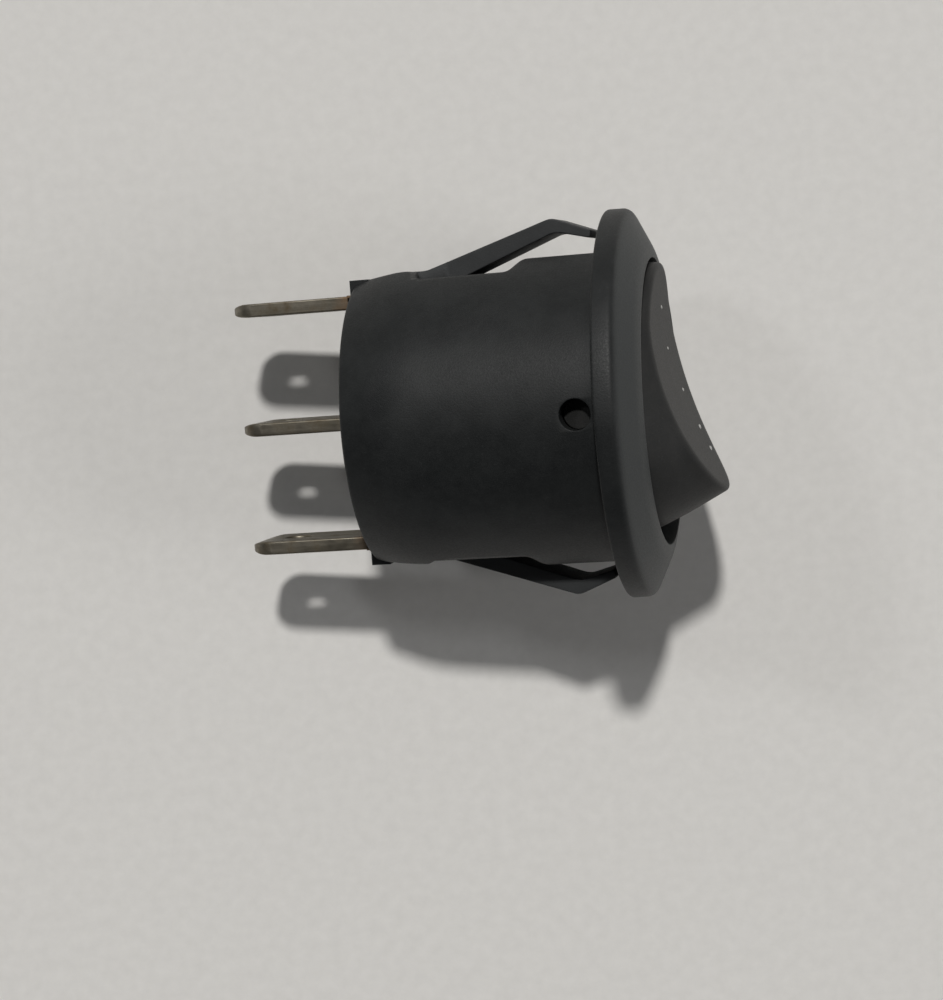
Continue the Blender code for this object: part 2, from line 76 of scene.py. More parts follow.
# Fine shape of the housing. X counts from the seating face, radii and floors from the barrel's axis.
BEZEL_RADIUS = HOUSING_HIGH.y
BEZEL_RIM_HEIGHT = 1.2 * MM
BEZEL_CONE_TOP = 2.24 * MM
BEZEL_CONE_RADIUS = 9.35 * MM
BEZEL_HEIGHT = HOUSING_HIGH.x - SEAT_X
OPENING_RADIUS = 8.5 * MM
BARREL_RADIUS = 9.7 * MM
BARREL_LENGTH = SEAT_X - HOUSING_LOW.x
BARREL_MID = (-12.2 * MM, 9.5 * MM)
BARREL_REAR_RADIUS = 8.65 * MM
WELL_DEPTH = 4.8 * MM
CAVITY_RADIUS = 7.0 * MM
COVER_SEAT = (-13.7 * MM, 7.95 * MM)
FLAT_FRONT = 8.95 * MM
FLAT_CREST = {"upper": 8.75 * MM, "lower": 8.45 * MM}
FLAT_REAR = 8.3 * MM
POCKET_FLOOR = 8.25 * MM
POCKET_FRONT_X = -5.4 * MM
POCKET_STEP_X = -4.7 * MM
POCKET_REAR_X = -11.2 * MM
RECESS_FLOOR = 7.55 * MM
RECESS = (-11.7 * MM, -6.1 * MM)
RECESS_HALF_WIDTH = 2.0 * MM
WINDOW = (-5.7 * MM, -0.5 * MM)
WINDOW_FLOOR = 8.1 * MM
WINDOW_HALF_WIDTH = 2.3 * MM
CHANNEL_FRONT_X = -12.4 * MM
CHANNEL_HALF_WIDTH = 2.7 * MM
NOTCH_FRONT_X = -14.1 * MM
NOTCH_HALF_WIDTH = 3.0 * MM
TRUNNION_HOLE_RADIUS = 0.9 * MM
EDGE = 0.12 * MM

# Ends of the cutting shapes, clear of the housing behind it and around it.
BEHIND_X = -BARREL_LENGTH - 1 * MM
OUTSIDE = 13 * MM

# Snap arms. The bend counts along X from the hinge, its rows from the seating face in millimetres.
ARM_SPLAY_DEG = {"upper": 1.3, "lower": 0.0}
ARM_BEND_END = 1.5 * MM
ARM_BEND_ROWS = (-11.2, -11.0, -10.8, -10.6, -10.4, -10.2, -10.0, -9.8, -9.4)

# Rocker, as heights above its pivot and distances from the axis of its stem.
TROUGH_HEIGHT = 4.62 * MM
TROUGH_RADIUS = 20.4 * MM
TROUGH_LIFT = 0.22 * MM
TROUGH_LIFT_START = 3 * MM
TROUGH_LIFT_LENGTH = 4 * MM
WALL_START = -1.08 * MM
RIM_ROUND_DOWN = 0.3 * MM
RIM_ROUND_IN = 0.45 * MM
PIN_RADIUS = 0.87 * MM
PIN_ROOT_Z = 7.1 * MM
PIN_END_Z = 8.65 * MM
PIN_SLOPE = 0.35
PIN_SLOPE_HEIGHT = 0.3 * MM

# Tabs. X counts from the seating face, and the rows of the taper from the tip in millimetres.
TAB_TIP_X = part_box("terminal_common")[0].x - SEAT_X
TAB_SHOULDER_X = -15.75 * MM
TAB_OVERLAP = 0.3 * MM
TAB_HALF_THICKNESS = 0.4 * MM
TAB_HALF_WIDTH = 2.375 * MM
TAB_CORNER_RADIUS = 1.5 * MM
TAB_HOLE_RADIUS = 0.85 * MM
TAB_HOLE_REACH = 2.5 * MM
TAB_TAPER_LENGTH = 1.1 * MM
TAB_TAPER_ROWS = (0.15, 0.3, 0.45, 0.6, 0.75, 0.9, 1.05)

# Plunger spring, along the axis of the stem from the rocker's pivot.
SPRING_LOW = -3.95 * MM
SPRING_HIGH = 2.05 * MM
SPRING_RADIUS = 0.8 * MM
SPRING_WIRE_RADIUS = 0.16 * MM
SPRING_TURNS = 7

# Setting. The floor is metres wide, so that its edge lies close to the horizon.
FLOOR_HALF_SIZE = 8
FLOOR_GAP = 0.05 * MM
HORIZON_LIGHT = 0.55
OVERHEAD_LIGHT = 0.05
LIGHT_FADE_END = 0.4


def add_object(name, mesh):
    obj = bpy.data.objects.new(name, mesh)
    bpy.context.scene.collection.objects.link(obj)
    return obj


def mesh_from(name, bm):
    bmesh.ops.recalc_face_normals(bm, faces=bm.faces)
    mesh = bpy.data.meshes.new(name)
    bm.to_mesh(mesh)
    bm.free()
    return mesh


def arc(centre, radius, start, end, steps):
    """Points on an arc, with its angles in degrees."""
    angles = [math.radians(start + (end - start) * i / steps) for i in range(steps + 1)]
    return [(centre[0] + radius * math.cos(a), centre[1] + radius * math.sin(a)) for a in angles]


def rounded(outline, steps, closed=True):
    """Replaces each corner of an outline, given as (x, y, reach), with a short curve."""
    result = []
    count = len(outline)
    for i, corner in enumerate(outline):
        here = Vector(corner[:2])
        reach = corner[2]
        if reach == 0 or (not closed and i in (0, count - 1)):
            result.append(tuple(here))
            continue
        before = Vector(outline[i - 1][:2])
        after = Vector(outline[(i + 1) % count][:2])
        cut = min(reach, (before - here).length * 0.45, (after - here).length * 0.45)
        start = here + (before - here).normalized() * cut
        end = here + (after - here).normalized() * cut
        for step in range(steps + 1):
            t = step / steps
            result.append(tuple(start.lerp(here, t).lerp(here.lerp(end, t), t)))
    return result


def ring_loft(name, rings):
    """Joins rings of equal length into one skin, and closes its ends."""
    bm = bmesh.new()
    made = [[bm.verts.new(point) for point in ring] for ring in rings]
    for lower, upper in zip(made, made[1:]):
        for i in range(len(lower)):
            j = (i + 1) % len(lower)
            bm.faces.new((lower[i], lower[j], upper[j], upper[i]))
    bm.faces.new(made[0])
    bm.faces.new(made[-1])
    return mesh_from(name, bm)


def turned(name, profile, steps=192):
    """A solid of revolution about X through the barrel's axis. The profile lists (x, radius)."""
    turn = [2 * math.pi * i / steps for i in range(steps)]
    rings = []
    for x, radius in profile:
        rings.append([(SEAT_X + x, radius * math.cos(a), radius * math.sin(a)) for a in turn])
    return ring_loft(name, rings)


def prism(name, outline, low, high, axis="Z"):
    """A flat outline in X and Y (or X and Z) from the seat, with a thickness along the other axis."""
    bm = bmesh.new()
    ends = []
    for offset in (low, high):
        if axis == "Z":
            points = [(SEAT_X + x, y, offset) for x, y in outline]
        else:
            points = [(SEAT_X + x, offset, z) for x, z in outline]
        ends.append([bm.verts.new(point) for point in points])
    for i in range(len(outline)):
        j = (i + 1) % len(outline)
        bm.faces.new((ends[0][i], ends[0][j], ends[1][j], ends[1][i]))
    bm.faces.new(ends[0])
    bm.faces.new(ends[1])
    return mesh_from(name, bm)


def block(name, low, high):
    """A box between two corners, with X counted from the seat."""
    outline = [(low[0], low[1]), (high[0], low[1]), (high[0], high[1]), (low[0], high[1])]
    return prism(name, outline, low[2], high[2])


def cylinder(name, radius, start, end, steps):
    axis = Vector(end) - Vector(start)
    turn = axis.to_track_quat("Z", "Y").to_matrix().to_4x4()
    place = Matrix.Translation((Vector(start) + Vector(end)) / 2) @ turn
    bm = bmesh.new()
    bmesh.ops.create_cone(
        bm, cap_ends=True, segments=steps, radius1=radius, radius2=radius, depth=axis.length, matrix=place
    )
    return mesh_from(name, bm)


def combine(obj, meshes, operation):
    """Applies booleans of the meshes to the object."""
    for mesh in meshes:
        tool = add_object("tool", mesh)
        modifier = obj.modifiers.new("combine", "BOOLEAN")
        modifier.operation = operation
        modifier.object = tool
        modifier.solver = "EXACT"
        apply_modifiers(obj)
        bpy.data.objects.remove(tool, do_unlink=True)


def apply_modifiers(obj):
    graph = bpy.context.evaluated_depsgraph_get()
    mesh = bpy.data.meshes.new_from_object(obj.evaluated_get(graph))
    old = obj.data
    obj.modifiers.clear()
    obj.data = mesh
    if old.users == 0:
        bpy.data.meshes.remove(old)


def soften(obj, width, segments, angle, dissolve=True):
    """Rounds the sharp edges and shades the rest smooth."""
    bm = bmesh.new()
    bm.from_mesh(obj.data)
    bmesh.ops.remove_doubles(bm, verts=bm.verts, dist=1e-6)
    if dissolve:
        bmesh.ops.dissolve_limit(bm, angle_limit=math.radians(0.4), verts=bm.verts, edges=bm.edges)
    bmesh.ops.recalc_face_normals(bm, faces=bm.faces)
    bm.to_mesh(obj.data)
    bm.free()
    bevel = obj.modifiers.new("round_edges", "BEVEL")
    bevel.width = width
    bevel.segments = segments
    bevel.limit_method = "ANGLE"
    bevel.angle_limit = math.radians(angle)
    bevel.miter_outer = "MITER_ARC"
    bevel.use_clamp_overlap = True
    apply_modifiers(obj)
    obj.data.shade_smooth()
    obj.data.set_sharp_from_angle(angle=math.radians(38))
    weighted = obj.modifiers.new("flat_face_normals", "WEIGHTED_NORMAL")
    weighted.keep_sharp = True
    weighted.weight = 80


# Materials


class Nodes:
    """A short way to write a material's node tree."""

    def __init__(self, name):
        self.material = bpy.data.materials.new(name)
        self.material.use_nodes = True
        self.tree = self.material.node_tree
        self.shader = self.tree.nodes["Principled BSDF"]
        self.place = self.add("ShaderNodeTexCoord").outputs["Object"]

    def add(self, kind, **settings):
        node = self.tree.nodes.new(kind)
        for key, value in settings.items():
            setattr(node, key, value)
        return node

    def link(self, source, target):
        self.tree.links.new(source, target)

    def noise(self, scale_per_mm, detail=3.0, roughness=0.55, stretch=(1, 1, 1)):
        mapping = self.add("ShaderNodeMapping")
        mapping.inputs["Scale"].default_value = stretch
        self.link(self.place, mapping.inputs["Vector"])
        node = self.add("ShaderNodeTexNoise")
        node.inputs["Scale"].default_value = scale_per_mm / MM
        node.inputs["Detail"].default_value = detail
        node.inputs["Roughness"].default_value = roughness
        self.link(mapping.outputs["Vector"], node.inputs["Vector"])
        return node.outputs["Fac"]

    def remap(self, value, low, high, to_low=0.0, to_high=1.0):
        node = self.add("ShaderNodeMapRange")
        for key, number in zip(("From Min", "From Max", "To Min", "To Max"), (low, high, to_low, to_high)):
            node.inputs[key].default_value = number
        self.link(value, node.inputs["Value"])
        return node.outputs["Result"]

    def mix(self, factor, first, second):
        node = self.add("ShaderNodeMix", data_type="RGBA")
        self.link(factor, node.inputs["Factor"])
        for key, value in (("A", first), ("B", second)):
            socket = next(s for s in node.inputs if s.name == key and s.type == "RGBA")
            if isinstance(value, tuple):
                socket.default_value = (*value, 1.0)
            else:
                self.link(value, socket)
        return next(s for s in node.outputs if s.type == "RGBA")

    def math(self, operation, first, second):
        node = self.add("ShaderNodeMath", operation=operation)
        for socket, value in zip(node.inputs, (first, second)):
            if isinstance(value, (int, float)):
                socket.default_value = value
            else:
                self.link(value, socket)
        return node.outputs["Value"]

    def axis(self, name):
        split = self.add("ShaderNodeSeparateXYZ")
        self.link(self.place, split.inputs["Vector"])
        return split.outputs[name]

    def bump(self, height, distance, strength, edge_radius=0.0):
        node = self.add("ShaderNodeBump")
        node.inputs["Distance"].default_value = distance
        node.inputs["Strength"].default_value = strength
        self.link(height, node.inputs["Height"])
        if edge_radius:
            bevel = self.add("ShaderNodeBevel", samples=4)
            bevel.inputs["Radius"].default_value = edge_radius
            self.link(bevel.outputs["Normal"], node.inputs["Normal"])
        self.link(node.outputs["Normal"], self.shader.inputs["Normal"])

    def finish(self, colour, roughness, metallic=0.0):
        self.link(colour, self.shader.inputs["Base Color"])
        self.link(roughness, self.shader.inputs["Roughness"])
        self.shader.inputs["Metallic"].default_value = metallic
        return self.material


def moulded_nylon(name, dark, light, rough_low, rough_high, grain_depth, shine=0.5, painted_reflection_from=None):
    """Matte glass-filled nylon: a fine grain, pale fibre specks, a mottled tone and rounded edges.

    Ahead of painted_reflection_from along X the surface is painted paler, a painted reflection of the pale floor
    on the bezel's front.
    """
    nodes = Nodes(name)
    grain = nodes.noise(10.0, detail=2.0)
    specks = nodes.noise(9.0, detail=1.0, stretch=(0.45, 1, 1))
    clouds = nodes.noise(0.45, detail=6.0, roughness=0.75)
    tone = nodes.mix(nodes.remap(clouds, 0.38, 0.62), dark, light)
    fibre = nodes.remap(specks, 0.66, 0.78, 0.0, 0.35)
    speckled = nodes.mix(fibre, tone, tuple(min(1.0, 2.1 * c) for c in light))
    # Painted reflection: the bezel's front is painted paler than the rest of the housing.
    if painted_reflection_from is not None:
        painted_reflection = nodes.remap(nodes.axis("X"), painted_reflection_from, painted_reflection_from + 0.25 * MM)
        speckled = nodes.mix(painted_reflection, speckled, tuple(2.3 * c for c in light))
    roughness = nodes.remap(grain, 0.3, 0.7, rough_low, rough_high)
    nodes.bump(grain, grain_depth, 0.6, edge_radius=0.09 * MM)
    nodes.shader.inputs["Specular IOR Level"].default_value = shine
    return nodes.finish(speckled, roughness)


def dull_tin():
    """Dull tin over brass: streaks along the blade, dark blotches and bare brass near the root."""
    nodes = Nodes("dull_tin")
    streaks = nodes.noise(2.4, detail=4.0, stretch=(0.12, 1, 1))
    blotches = nodes.noise(0.9, detail=5.0, roughness=0.65)
    pits = nodes.noise(7.0, detail=2.0)
    tin_dark, tin_light = (0.155, 0.14, 0.108), (0.28, 0.255, 0.208)
    stain, bare_brass = (0.13, 0.105, 0.07), (0.27, 0.14, 0.065)
    tin = nodes.mix(nodes.remap(streaks, 0.35, 0.7), tin_dark, tin_light)
    stained = nodes.mix(nodes.remap(blotches, 0.48, 0.72), tin, stain)
    shoulder = SEAT_X + TAB_SHOULDER_X
    ragged = nodes.math("ADD", nodes.axis("X"), nodes.math("MULTIPLY", blotches, 1.6 * MM))
    bare = nodes.remap(ragged, shoulder - 0.2 * MM, shoulder + 1.4 * MM, 0.0, 0.5)
    colour = nodes.mix(bare, stained, bare_brass)
    roughness = nodes.remap(blotches, 0.3, 0.75, 0.34, 0.6)
    nodes.bump(nodes.math("ADD", streaks, nodes.math("MULTIPLY", pits, 0.5)), 0.02 * MM, 0.5)
    return nodes.finish(colour, roughness, 0.9)


def worked_metal(name, dark, light, rough_low, rough_high, stretch):
    """Bare metal with fine drawing or stamping marks."""
    nodes = Nodes(name)
    marks = nodes.noise(3.5, detail=4.0, stretch=stretch)
    haze = nodes.noise(0.8, detail=3.0)
    colour = nodes.mix(nodes.remap(haze, 0.35, 0.68), dark, light)
    roughness = nodes.remap(marks, 0.3, 0.7, rough_low, rough_high)
    nodes.bump(marks, 0.01 * MM, 0.5)
    return nodes.finish(colour, roughness, 1.0)


def acetal():
    """Natural acetal: white and slightly translucent, with faint flow clouds."""
    nodes = Nodes("natural_acetal")
    clouds = nodes.noise(0.9, detail=3.0)
    colour = nodes.mix(nodes.remap(clouds, 0.35, 0.68), (0.68, 0.66, 0.61), (0.80, 0.79, 0.75))
    roughness = nodes.remap(clouds, 0.3, 0.7, 0.34, 0.46)
    nodes.shader.inputs["Subsurface Weight"].default_value = 0.15
    nodes.shader.inputs["Subsurface Scale"].default_value = 0.6 * MM
    nodes.bump(nodes.noise(6.0), 0.006 * MM, 0.5)
    return nodes.finish(colour, roughness)


def paint(obj, material):
    obj.data.materials.clear()
    obj.data.materials.append(material)


HOUSING_NYLON = moulded_nylon(
    "housing_nylon",
    dark=(0.0070, 0.0082, 0.0086),
    light=(0.0135, 0.0150, 0.0153),
    rough_low=0.47,
    rough_high=0.60,
    grain_depth=0.014 * MM,
    shine=0.32,
    # painted reflection on the bezel's front, ahead of its rim
    painted_reflection_from=SEAT_X + BEZEL_RIM_HEIGHT,
)
ARM_NYLON = moulded_nylon(
    "arm_nylon",
    dark=(0.013, 0.0145, 0.0155),
    light=(0.019, 0.021, 0.022),
    rough_low=0.48,
    rough_high=0.62,
    grain_depth=0.014 * MM,
)
ROCKER_NYLON = moulded_nylon(
    "rocker_nylon_fine",
    dark=(0.015, 0.0155, 0.0153),
    light=(0.021, 0.0208, 0.0203),
    rough_low=0.50,
    rough_high=0.62,
    grain_depth=0.012 * MM,
    shine=0.26,
)
DULL_TIN = dull_tin()
COPPER = worked_metal("stamped_copper", (0.58, 0.28, 0.15), (0.78, 0.43, 0.26), 0.25, 0.42, (1, 0.15, 1))
SILVER = worked_metal("silver_alloy", (0.68, 0.66, 0.62), (0.84, 0.83, 0.80), 0.22, 0.40, (1, 1, 1))
STEEL = worked_metal("drawn_wire", (0.42, 0.42, 0.43), (0.60, 0.60, 0.61), 0.22, 0.38, (1, 1, 1))
ACETAL = acetal()


# Housing


def housing_outside():
    """Bezel and barrel in one turned profile with rounded edges, from front to rear."""
    corners = [
        (BEZEL_HEIGHT, 0, 0),
        (BEZEL_HEIGHT, OPENING_RADIUS + 0.1 * MM, 0.1 * MM),
        (BEZEL_CONE_TOP, BEZEL_CONE_RADIUS, 0.5 * MM),
        (BEZEL_RIM_HEIGHT, BEZEL_RADIUS - 0.02 * MM, 0.3 * MM),
        (0, BEZEL_RADIUS, 0.16 * MM),
        (0, BARREL_RADIUS, 0.12 * MM),
        (BARREL_MID[0], BARREL_MID[1], 1.6 * MM),
        (-BARREL_LENGTH, BARREL_REAR_RADIUS, 0.25 * MM),
        (-BARREL_LENGTH, 0, 0),
    ]
    profile = subdivided(rounded(corners, 5, closed=False), 0.8 * MM)
    return without_axis_ends(turned("housing_outside", profile))


def subdivided(profile, longest):
    """Adds points to a profile's long straight stretches, away from the axis."""
    result = [profile[0]]
    for point in profile[1:]:
        before = Vector(result[-1])
        here = Vector(point)
        parts = math.ceil((here - before).length / longest) if min(before.y, here.y) > 0 else 1
        result += [tuple(before.lerp(here, part / parts)) for part in range(1, parts)]
        result.append(point)
    return result


def without_axis_ends(mesh):
    """Merges the points of a turned shape that lie on its axis."""
    bm = bmesh.new()
    bm.from_mesh(mesh)
    bmesh.ops.remove_doubles(bm, verts=bm.verts, dist=1e-7)
    bmesh.ops.dissolve_degenerate(bm, edges=bm.edges, dist=1e-8)
    loose = [face for face in bm.faces if face.calc_area() < 1e-14]
    bmesh.ops.delete(bm, geom=loose, context="FACES")
    bmesh.ops.recalc_face_normals(bm, faces=bm.faces)
    bm.to_mesh(mesh)
    bm.free()
    return mesh


def flat_cutter(name, side):
    """What the flat side of the barrel leaves out: crest, pocket and step, with rounded corners."""
    crest = FLAT_CREST[name]
    outline = [
        (BEHIND_X, FLAT_REAR - 0.1 * MM, 0),
        (BARREL_MID[0], crest, 0.9 * MM),
        (POCKET_REAR_X - 0.25 * MM, crest, 0.2 * MM),
        (POCKET_REAR_X, POCKET_FLOOR, 0.15 * MM),
        (POCKET_FRONT_X, POCKET_FLOOR, 0.3 * MM),
        (POCKET_STEP_X, FLAT_FRONT, 0.3 * MM),
        (-0.35 * MM, FLAT_FRONT, 0),
        (-0.02 * MM, FLAT_FRONT + 0.35 * MM, 0),
        (-0.02 * MM, OUTSIDE, 0),
        (BEHIND_X, OUTSIDE, 0),
    ]
    points = [(x, side * y) for x, y in rounded(outline, 4)]
    return prism("flat", points, -OUTSIDE, OUTSIDE)


def build_housing():
    housing = add_object("switch_housing", housing_outside())
    cutters = [flat_cutter(name, side) for name, side in SIDES.items()]
    cavity = [
        (BEZEL_HEIGHT + 1 * MM, 0),
        (BEZEL_HEIGHT + 1 * MM, OPENING_RADIUS),
        (-WELL_DEPTH, OPENING_RADIUS),
        (-WELL_DEPTH, CAVITY_RADIUS),
        (COVER_SEAT[0], CAVITY_RADIUS),
        COVER_SEAT,
        (BEHIND_X, COVER_SEAT[1]),
        (BEHIND_X, 0),
    ]
    cutters.append(without_axis_ends(turned("cavity", cavity)))
    low = (BEHIND_X, -COVER_SEAT[1], -CHANNEL_HALF_WIDTH)
    cutters.append(block("channel", low, (CHANNEL_FRONT_X, COVER_SEAT[1], CHANNEL_HALF_WIDTH)))
    low = (BEHIND_X, -OUTSIDE, -NOTCH_HALF_WIDTH)
    cutters.append(block("notch", low, (NOTCH_FRONT_X, OUTSIDE, NOTCH_HALF_WIDTH)))
    for side in SIDES.values():
        near, far = sorted((side * WINDOW_FLOOR, side * OUTSIDE))
        low = (WINDOW[0], near, -WINDOW_HALF_WIDTH)
        cutters.append(block("window", low, (WINDOW[1], far, WINDOW_HALF_WIDTH)))
        near, far = sorted((side * RECESS_FLOOR, side * OUTSIDE))
        low = (RECESS[0], near, -RECESS_HALF_WIDTH)
        cutters.append(block("recess", low, (RECESS[1], far, RECESS_HALF_WIDTH)))
    start, end = (Vector((ROCKER_PIVOT.x, ROCKER_PIVOT.y, z)) for z in (-OUTSIDE, OUTSIDE))
    cutters.append(cylinder("pivot_hole", TRUNNION_HOLE_RADIUS, start, end, 64))
    combine(housing, cutters, "DIFFERENCE")
    soften(housing, EDGE, 2, 34, dissolve=False)
    paint(housing, HOUSING_NYLON)
    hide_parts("housing")
    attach(housing, "housing")


# Snap arms


def arm_outline(name, side):
    """The bent strip seen from its edge, from its peak round the inside to the root and back.

    The corners are (x, y, reach) in millimetres, and the strip is then turned out about its hinge.
    """
    hinge = JOINTS["arm_flex_" + name]["pos_m"]
    splay = math.radians(ARM_SPLAY_DEG[name])
    crest = FLAT_CREST[name] / MM
    corners = [
        (-3.1, 11.05, 0.35),
        (-0.8, 10.12, 0.14),
        (-0.9, 9.65, 0.14),
        (-2.95, 10.2, 0.4),
        (-8.1, 8.32, 1.0),
        (-9.6, 7.75, 0.5),
        (-11.35, 7.6, 0.1),
        (-11.65, 7.9, 0.1),
        (-11.65, crest, 0.1),
        (-10.9, crest - 0.02, 0.3),
    ]
    points = []
    for x, y in rounded([tuple(value * MM for value in corner) for corner in corners], 5):
        dx, dy = x - (hinge[0] - SEAT_X), y - abs(hinge[1])
        turn = splay * smooth_step(dx / ARM_BEND_END)
        px = dx * math.cos(turn) - dy * math.sin(turn) + hinge[0] - SEAT_X
        py = dx * math.sin(turn) + dy * math.cos(turn) + abs(hinge[1])
        points.append((px, side * py))
    return points


def smooth_step(t):
    """Runs from 0 to 1 with a level start and end."""
    t = min(1.0, max(0.0, t))
    return t * t * (3 - 2 * t)


def build_snap_arms():
    for name, side in SIDES.items():
        body = "snap_arm_" + name
        half_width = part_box(body)[1].z
        strip = prism("arm", arm_outline(name, side), -half_width, half_width)
        arm = add_object("springy_arm_" + name, strip)
        soften(arm, 0.1 * MM, 2, 40)
        slice_along_x(arm, [SEAT_X + x * MM for x in ARM_BEND_ROWS])
        paint(arm, ARM_NYLON)
        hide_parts(body)
        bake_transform(arm)


def slice_along_x(obj, places):
    """Adds rows of points across the piece at the given places along X."""
    bm = bmesh.new()
    bm.from_mesh(obj.data)
    for x in places:
        geometry = list(bm.verts) + list(bm.edges) + list(bm.faces)
        bmesh.ops.bisect_plane(bm, geom=geometry, plane_co=(x, 0, 0), plane_no=(1, 0, 0))
    bm.to_mesh(obj.data)
    bm.free()


# Rocker


def rocker_place():
    return Matrix.Translation(ROCKER_PIVOT) @ Matrix.Rotation(ROCKER_TILT, 4, "Z")


def trough(u):
    """Height of the touch face above the pivot, u along the way it tips. The low end stands up a little."""
    lift = TROUGH_LIFT * smooth_step((u - TROUGH_LIFT_START) / TROUGH_LIFT_LENGTH)
    return TROUGH_HEIGHT + TROUGH_RADIUS - math.sqrt(TROUGH_RADIUS**2 - u * u) + lift


# The rocker's sections: height, half length and half width in millimetres, and roundness exponent.
ROCKER_SECTIONS = [
    (-1.2, 7.90, 7.90, 2.0),
    (0.6, 8.05, 8.08, 2.0),
    (2.4, 7.78, 7.95, 2.05),
    (3.6, 7.54, 7.05, 2.15),
    (4.7, 7.28, 6.05, 2.2),
    (6.3, 6.90, 5.40, 2.25),
]


def section_at(height):
    """The rocker's outline at a height, on a smooth curve through the listed sections."""
    rows = ROCKER_SECTIONS
    h = height / MM
    index = max(0, min(len(rows) - 2, sum(1 for row in rows if row[0] <= h) - 1))
    before, first, second, after = (rows[max(0, min(len(rows) - 1, index + k))] for k in (-1, 0, 1, 2))
    span = second[0] - first[0]
    t = (h - first[0]) / span
    values = []
    for k in (1, 2, 3):
        slope_a = (second[k] - before[k]) / max(second[0] - before[0], 1e-9)
        slope_b = (after[k] - first[k]) / max(after[0] - first[0], 1e-9)
        a = (2 * t**3 - 3 * t**2 + 1) * first[k] + (t**3 - 2 * t**2 + t) * span * slope_a
        b = (3 * t**2 - 2 * t**3) * second[k] + (t**3 - t**2) * span * slope_b
        values.append(a + b)
    return values[0] * MM, values[1] * MM, values[2]


def wall_point(angle, height):
    half_length, half_width, power = section_at(height)
    c, s = math.cos(angle), math.sin(angle)
    u = half_length * math.copysign(abs(c) ** (2 / power), c)
    z = half_width * math.copysign(abs(s) ** (2 / power), s)
    return Vector((height, u, z))


def edge_height(angle):
    """Where the wall meets the touch face, found by going back and forth between the two."""
    height = 5.0 * MM
    for _ in range(30):
        height = trough(wall_point(angle, height).y)
    return height


def rocker_rings(steps=192):
    """From the inside of the stem's bore, over the hollow, the skirt and the wall to the touch face."""
    angles = [2 * math.pi * i / steps for i in range(steps)]

    def circle(height, radius):
        return [Vector((height * MM, radius * MM * math.cos(a), radius * MM * math.sin(a))) for a in angles]

    inner = [(2.3, 0.02), (2.3, 1.05), (2.2, 1.15), (-5.5, 1.15), (-5.6, 1.25), (-5.6, 1.65), (-5.5, 1.75)]
    inner += [(2.9, 1.75), (3.1, 1.85), (3.2, 2.05), (3.2, 6.3), (3.1, 6.45), (2.9, 6.5), (-1.1, 6.5)]
    inner += [(-1.2, 6.6), (-1.2, 7.65)]
    rings = [circle(height, radius) for height, radius in inner]
    edges = [edge_height(a) for a in angles]
    levels = 22
    for level in range(levels + 1):
        t = level / levels
        ring = []
        for a, top in zip(angles, edges):
            ring.append(wall_point(a, WALL_START + t * (top - RIM_ROUND_DOWN - WALL_START)))
        rings.append(ring)
    rim_steps = 6
    for step in range(1, rim_steps + 1):
        t = step / rim_steps
        ring = []
        for a, top in zip(angles, edges):
            start = wall_point(a, top - RIM_ROUND_DOWN)
            corner = wall_point(a, top)
            inset = 1 - RIM_ROUND_IN / Vector((corner.y, corner.z)).length
            end = Vector((trough(corner.y * inset), corner.y * inset, corner.z * inset))
            ring.append(start.lerp(corner, t).lerp(corner.lerp(end, t), t))
        rings.append(ring)
    rim = rings[-1]
    face_steps = 19
    for step in range(1, face_steps + 1):
        scale = 1 - step / (face_steps + 0.5)
        rings.append([Vector((trough(p.y * scale), p.y * scale, p.z * scale)) for p in rim])
    return rings


def trunnion(side):
    """A pin whose end slopes away at the rear, so that it snaps into its hole."""
    mesh = cylinder("trunnion", PIN_RADIUS, (0, 0, side * PIN_ROOT_Z), (0, 0, side * PIN_END_Z), 48)
    middle = (PIN_ROOT_Z + PIN_END_Z) / 2
    for vertex in mesh.vertices:
        if abs(vertex.co.z) > middle:
            vertex.co.z -= side * PIN_SLOPE * max(0.0, PIN_SLOPE_HEIGHT - vertex.co.x)
    return mesh


def build_rocker():
    rocker = add_object("rocker_cap", ring_loft("rocker_cap", rocker_rings()))
    trunnions = [trunnion(side) for side in (-1, 1)]
    combine(rocker, trunnions, "UNION")
    rocker.data.transform(rocker_place())
    rocker.data.shade_smooth()
    rocker.data.set_sharp_from_angle(angle=math.radians(38))
    paint(rocker, ROCKER_NYLON)
    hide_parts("rocker")
    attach(rocker, "rocker")


def build_pips():
    """Five tiny pale raised dots near one edge of the touch face, as (u, z, radius) in millimetres."""
    pips = (
        (4.43, -0.45, 0.13),
        (2.0, -0.97, 0.10),
        (-0.63, -2.5, 0.12),
        (-3.08, -2.9, 0.16),
        (-4.5, -2.55, 0.16),
    )
    bm = bmesh.new()
    for u, z, radius in pips:
        height = trough(u * MM)
        place = Matrix.Translation((height, u * MM, z * MM)) @ Matrix.Diagonal((0.5, 1, 1, 1))
        bmesh.ops.create_icosphere(bm, subdivisions=3, radius=radius * MM, matrix=place)
    dots = add_object("touch_face_pips", mesh_from("touch_face_pips", bm))
    dots.data.transform(rocker_place())
    dots.data.shade_smooth()
    nodes = Nodes("pale_pip")
    tone = nodes.noise(6.0)
    colour = nodes.mix(nodes.remap(tone, 0.35, 0.65), (0.33, 0.33, 0.32), (0.50, 0.50, 0.48))
    paint(dots, nodes.finish(colour, nodes.remap(tone, 0.3, 0.7, 0.45, 0.6)))
    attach(dots, "rocker")


# Terminals and cover


def blade_outline():
    """The blade's broad face in X and Z: a long tab with two rounded corners."""
    corner = TAB_CORNER_RADIUS
    points = arc((TAB_TIP_X + corner, TAB_HALF_WIDTH - corner), corner, 90, 180, 14)
    points += arc((TAB_TIP_X + corner, corner - TAB_HALF_WIDTH), corner, 180, 270, 14)
    inner_end = TAB_SHOULDER_X + TAB_OVERLAP
    return points + [(inner_end, -TAB_HALF_WIDTH), (inner_end, TAB_HALF_WIDTH)]


